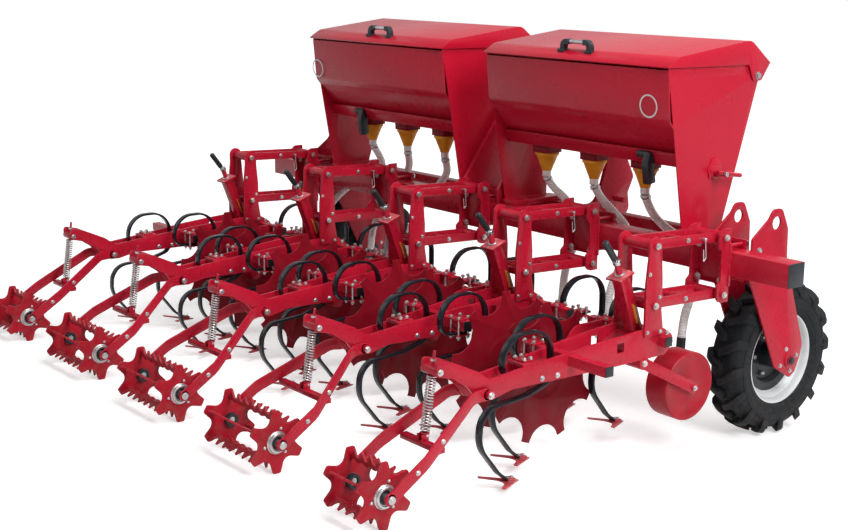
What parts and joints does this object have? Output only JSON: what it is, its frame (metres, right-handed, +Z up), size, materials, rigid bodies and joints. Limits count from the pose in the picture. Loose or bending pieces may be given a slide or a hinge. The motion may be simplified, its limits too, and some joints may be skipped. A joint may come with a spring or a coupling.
{
  "type": "inter-row cultivator",
  "caption": "Tractor-mounted inter-row cultivator: parallelogram units with spring tines, shield discs and star rollers under a toolbar, with lidded fertiliser hoppers and drive wheels.",
  "frame": {"origin": "on the ground below the middle of the whole machine", "axes": "+Z up, +Y forward to the tractor, +X across to the right-hand end of the toolbar"},
  "size_m": [3.758, 2.6316, 1.6968],
  "materials": {
    "red_paint": "gloss",
    "spring_steel": "gloss",
    "tyre_rubber": "matte",
    "white_rim": "gloss",
    "hose_grey": "satin",
    "black_plastic": "matte"
  },
  "bodies": {
    "toolbar_frame": {"toolbar": "red_paint", "toolbar_caps": "black_plastic", "front_bar": "red_paint", "headstock": "red_paint", "unit_brackets": "red_paint", "hopper_left": "red_paint", "hopper_right": "red_paint", "metering": "red_paint", "wheel_forks": "red_paint", "hoses_left": "hose_grey", "hoses_right": "hose_grey"},
    "drive_wheel_left": {"wheel_tyre_left": "tyre_rubber", "wheel_rim_left": "white_rim"},
    "lid_left": {"hopper_lid_left": "red_paint"},
    "drive_wheel_right": {"wheel_tyre_right": "tyre_rubber", "wheel_rim_right": "white_rim"},
    "lid_right": {"hopper_lid_right": "red_paint"},
    "lower_link_1": {"lower_link_1": "red_paint"},
    "upper_link_1": {"upper_link_1": "red_paint"},
    "unit_1": {"beam_1": "red_paint", "tines_1": "spring_steel", "roller_arm_1": "red_paint"},
    "gauge_wheel_1": {"gauge_wheel_1": "red_paint"},
    "star_roller_1": {"star_roller_1": "red_paint"},
    "shield_disc_1_right": {"shield_disc_1_right": "red_paint"},
    "lower_link_2": {"lower_link_2": "red_paint"},
    "upper_link_2": {"upper_link_2": "red_paint"},
    "unit_2": {"beam_2": "red_paint", "tines_2": "spring_steel", "roller_arm_2": "red_paint"},
    "gauge_wheel_2": {"gauge_wheel_2": "red_paint"},
    "star_roller_2": {"star_roller_2": "red_paint"},
    "shield_disc_2_left": {"shield_disc_2_left": "red_paint"},
    "shield_disc_2_right": {"shield_disc_2_right": "red_paint"},
    "lower_link_3": {"lower_link_3": "red_paint"},
    "upper_link_3": {"upper_link_3": "red_paint"},
    "unit_3": {"beam_3": "red_paint", "tines_3": "spring_steel", "roller_arm_3": "red_paint"},
    "gauge_wheel_3": {"gauge_wheel_3": "red_paint"},
    "star_roller_3": {"star_roller_3": "red_paint"},
    "shield_disc_3_left": {"shield_disc_3_left": "red_paint"},
    "shield_disc_3_right": {"shield_disc_3_right": "red_paint"},
    "lower_link_4": {"lower_link_4": "red_paint"},
    "upper_link_4": {"upper_link_4": "red_paint"},
    "unit_4": {"beam_4": "red_paint", "tines_4": "spring_steel", "roller_arm_4": "red_paint"},
    "gauge_wheel_4": {"gauge_wheel_4": "red_paint"},
    "star_roller_4": {"star_roller_4": "red_paint"},
    "shield_disc_4_left": {"shield_disc_4_left": "red_paint"},
    "shield_disc_4_right": {"shield_disc_4_right": "red_paint"},
    "lower_link_5": {"lower_link_5": "red_paint"},
    "upper_link_5": {"upper_link_5": "red_paint"},
    "unit_5": {"beam_5": "red_paint", "tines_5": "spring_steel", "roller_arm_5": "red_paint"},
    "gauge_wheel_5": {"gauge_wheel_5": "red_paint"},
    "star_roller_5": {"star_roller_5": "red_paint"},
    "shield_disc_5_left": {"shield_disc_5_left": "red_paint"}
  },
  "joints": [
    {"name": "drive_wheel_left_spin", "type": "hinge", "parent": "toolbar_frame", "child": "drive_wheel_left", "pos_m": [-1.512, 0.97083, 0.345], "axis": [1, 0, 0], "continuous": true},
    {"name": "lid_left_hinge", "type": "hinge", "parent": "toolbar_frame", "child": "lid_left", "pos_m": [-0.7325, 0.97077, 1.54898], "axis": [-1, 0, 0], "range_deg": [0, 100]},
    {"name": "drive_wheel_right_spin", "type": "hinge", "parent": "toolbar_frame", "child": "drive_wheel_right", "pos_m": [1.512, 0.97083, 0.345], "axis": [1, 0, 0], "continuous": true},
    {"name": "lid_right_hinge", "type": "hinge", "parent": "toolbar_frame", "child": "lid_right", "pos_m": [0.7325, 0.97077, 1.54898], "axis": [-1, 0, 0], "range_deg": [0, 100]},
    {"name": "unit_1_lift", "type": "hinge", "parent": "toolbar_frame", "child": "lower_link_1", "pos_m": [-1.5, 0.51997, 0.66967], "axis": [-1, 0, 0], "range_deg": [0, 20]},
    {"name": "upper_link_1_swing", "type": "hinge", "parent": "toolbar_frame", "child": "upper_link_1", "pos_m": [-1.5, 0.50626, 0.90828], "axis": [-1, 0, 0], "range_deg": [0, 20]},
    {"name": "unit_1_level", "type": "hinge", "parent": "lower_link_1", "child": "unit_1", "pos_m": [-1.5, 0.10723, 0.66199], "axis": [-1, 0, 0], "range_deg": [-20, 0]},
    {"name": "gauge_wheel_1_spin", "type": "hinge", "parent": "unit_1", "child": "gauge_wheel_1", "pos_m": [-1.5, 0.39921, 0.28712], "axis": [1, 0, 0], "continuous": true},
    {"name": "star_roller_1_spin", "type": "hinge", "parent": "unit_1", "child": "star_roller_1", "pos_m": [-1.5, -1.19913, 0.12517], "axis": [1, 0, 0], "continuous": true},
    {"name": "shield_disc_1_right_spin", "type": "hinge", "parent": "unit_1", "child": "shield_disc_1_right", "pos_m": [-1.248, -0.13063, 0.33881], "axis": [1, 0, 0], "continuous": true},
    {"name": "unit_2_lift", "type": "hinge", "parent": "toolbar_frame", "child": "lower_link_2", "pos_m": [-0.75, 0.51997, 0.66967], "axis": [-1, 0, 0], "range_deg": [0, 20]},
    {"name": "upper_link_2_swing", "type": "hinge", "parent": "toolbar_frame", "child": "upper_link_2", "pos_m": [-0.75, 0.50626, 0.90828], "axis": [-1, 0, 0], "range_deg": [0, 20]},
    {"name": "unit_2_level", "type": "hinge", "parent": "lower_link_2", "child": "unit_2", "pos_m": [-0.75, 0.10723, 0.66199], "axis": [-1, 0, 0], "range_deg": [-20, 0]},
    {"name": "gauge_wheel_2_spin", "type": "hinge", "parent": "unit_2", "child": "gauge_wheel_2", "pos_m": [-0.75, 0.39921, 0.28712], "axis": [1, 0, 0], "continuous": true},
    {"name": "star_roller_2_spin", "type": "hinge", "parent": "unit_2", "child": "star_roller_2", "pos_m": [-0.75, -1.19913, 0.12517], "axis": [1, 0, 0], "continuous": true},
    {"name": "shield_disc_2_left_spin", "type": "hinge", "parent": "unit_2", "child": "shield_disc_2_left", "pos_m": [-1.002, -0.13063, 0.33881], "axis": [1, 0, 0], "continuous": true},
    {"name": "shield_disc_2_right_spin", "type": "hinge", "parent": "unit_2", "child": "shield_disc_2_right", "pos_m": [-0.498, -0.13063, 0.33881], "axis": [1, 0, 0], "continuous": true},
    {"name": "unit_3_lift", "type": "hinge", "parent": "toolbar_frame", "child": "lower_link_3", "pos_m": [0, 0.51997, 0.66967], "axis": [-1, 0, 0], "range_deg": [0, 20]},
    {"name": "upper_link_3_swing", "type": "hinge", "parent": "toolbar_frame", "child": "upper_link_3", "pos_m": [0, 0.50626, 0.90828], "axis": [-1, 0, 0], "range_deg": [0, 20]},
    {"name": "unit_3_level", "type": "hinge", "parent": "lower_link_3", "child": "unit_3", "pos_m": [0, 0.10723, 0.66199], "axis": [-1, 0, 0], "range_deg": [-20, 0]},
    {"name": "gauge_wheel_3_spin", "type": "hinge", "parent": "unit_3", "child": "gauge_wheel_3", "pos_m": [0, 0.39921, 0.28712], "axis": [1, 0, 0], "continuous": true},
    {"name": "star_roller_3_spin", "type": "hinge", "parent": "unit_3", "child": "star_roller_3", "pos_m": [0, -1.19913, 0.12517], "axis": [1, 0, 0], "continuous": true},
    {"name": "shield_disc_3_left_spin", "type": "hinge", "parent": "unit_3", "child": "shield_disc_3_left", "pos_m": [-0.252, -0.13063, 0.33881], "axis": [1, 0, 0], "continuous": true},
    {"name": "shield_disc_3_right_spin", "type": "hinge", "parent": "unit_3", "child": "shield_disc_3_right", "pos_m": [0.252, -0.13063, 0.33881], "axis": [1, 0, 0], "continuous": true},
    {"name": "unit_4_lift", "type": "hinge", "parent": "toolbar_frame", "child": "lower_link_4", "pos_m": [0.75, 0.51997, 0.66967], "axis": [-1, 0, 0], "range_deg": [0, 20]},
    {"name": "upper_link_4_swing", "type": "hinge", "parent": "toolbar_frame", "child": "upper_link_4", "pos_m": [0.75, 0.50626, 0.90828], "axis": [-1, 0, 0], "range_deg": [0, 20]},
    {"name": "unit_4_level", "type": "hinge", "parent": "lower_link_4", "child": "unit_4", "pos_m": [0.75, 0.10723, 0.66199], "axis": [-1, 0, 0], "range_deg": [-20, 0]},
    {"name": "gauge_wheel_4_spin", "type": "hinge", "parent": "unit_4", "child": "gauge_wheel_4", "pos_m": [0.75, 0.39921, 0.28712], "axis": [1, 0, 0], "continuous": true},
    {"name": "star_roller_4_spin", "type": "hinge", "parent": "unit_4", "child": "star_roller_4", "pos_m": [0.75, -1.19913, 0.12517], "axis": [1, 0, 0], "continuous": true},
    {"name": "shield_disc_4_left_spin", "type": "hinge", "parent": "unit_4", "child": "shield_disc_4_left", "pos_m": [0.498, -0.13063, 0.33881], "axis": [1, 0, 0], "continuous": true},
    {"name": "shield_disc_4_right_spin", "type": "hinge", "parent": "unit_4", "child": "shield_disc_4_right", "pos_m": [1.002, -0.13063, 0.33881], "axis": [1, 0, 0], "continuous": true},
    {"name": "unit_5_lift", "type": "hinge", "parent": "toolbar_frame", "child": "lower_link_5", "pos_m": [1.5, 0.51997, 0.66967], "axis": [-1, 0, 0], "range_deg": [0, 20]},
    {"name": "upper_link_5_swing", "type": "hinge", "parent": "toolbar_frame", "child": "upper_link_5", "pos_m": [1.5, 0.50626, 0.90828], "axis": [-1, 0, 0], "range_deg": [0, 20]},
    {"name": "unit_5_level", "type": "hinge", "parent": "lower_link_5", "child": "unit_5", "pos_m": [1.5, 0.10723, 0.66199], "axis": [-1, 0, 0], "range_deg": [-20, 0]},
    {"name": "gauge_wheel_5_spin", "type": "hinge", "parent": "unit_5", "child": "gauge_wheel_5", "pos_m": [1.5, 0.39921, 0.28712], "axis": [1, 0, 0], "continuous": true},
    {"name": "star_roller_5_spin", "type": "hinge", "parent": "unit_5", "child": "star_roller_5", "pos_m": [1.5, -1.19913, 0.12517], "axis": [1, 0, 0], "continuous": true},
    {"name": "shield_disc_5_left_spin", "type": "hinge", "parent": "unit_5", "child": "shield_disc_5_left", "pos_m": [1.248, -0.13063, 0.33881], "axis": [1, 0, 0], "continuous": true}
  ],
  "couplings": [
    {"joint": "upper_link_1_swing", "follows": "unit_1_lift", "ratio": 1},
    {"joint": "unit_1_level", "follows": "unit_1_lift", "ratio": -1},
    {"joint": "upper_link_2_swing", "follows": "unit_2_lift", "ratio": 1},
    {"joint": "unit_2_level", "follows": "unit_2_lift", "ratio": -1},
    {"joint": "upper_link_3_swing", "follows": "unit_3_lift", "ratio": 1},
    {"joint": "unit_3_level", "follows": "unit_3_lift", "ratio": -1},
    {"joint": "upper_link_4_swing", "follows": "unit_4_lift", "ratio": 1},
    {"joint": "unit_4_level", "follows": "unit_4_lift", "ratio": -1},
    {"joint": "upper_link_5_swing", "follows": "unit_5_lift", "ratio": 1},
    {"joint": "unit_5_level", "follows": "unit_5_lift", "ratio": -1}
  ]
}
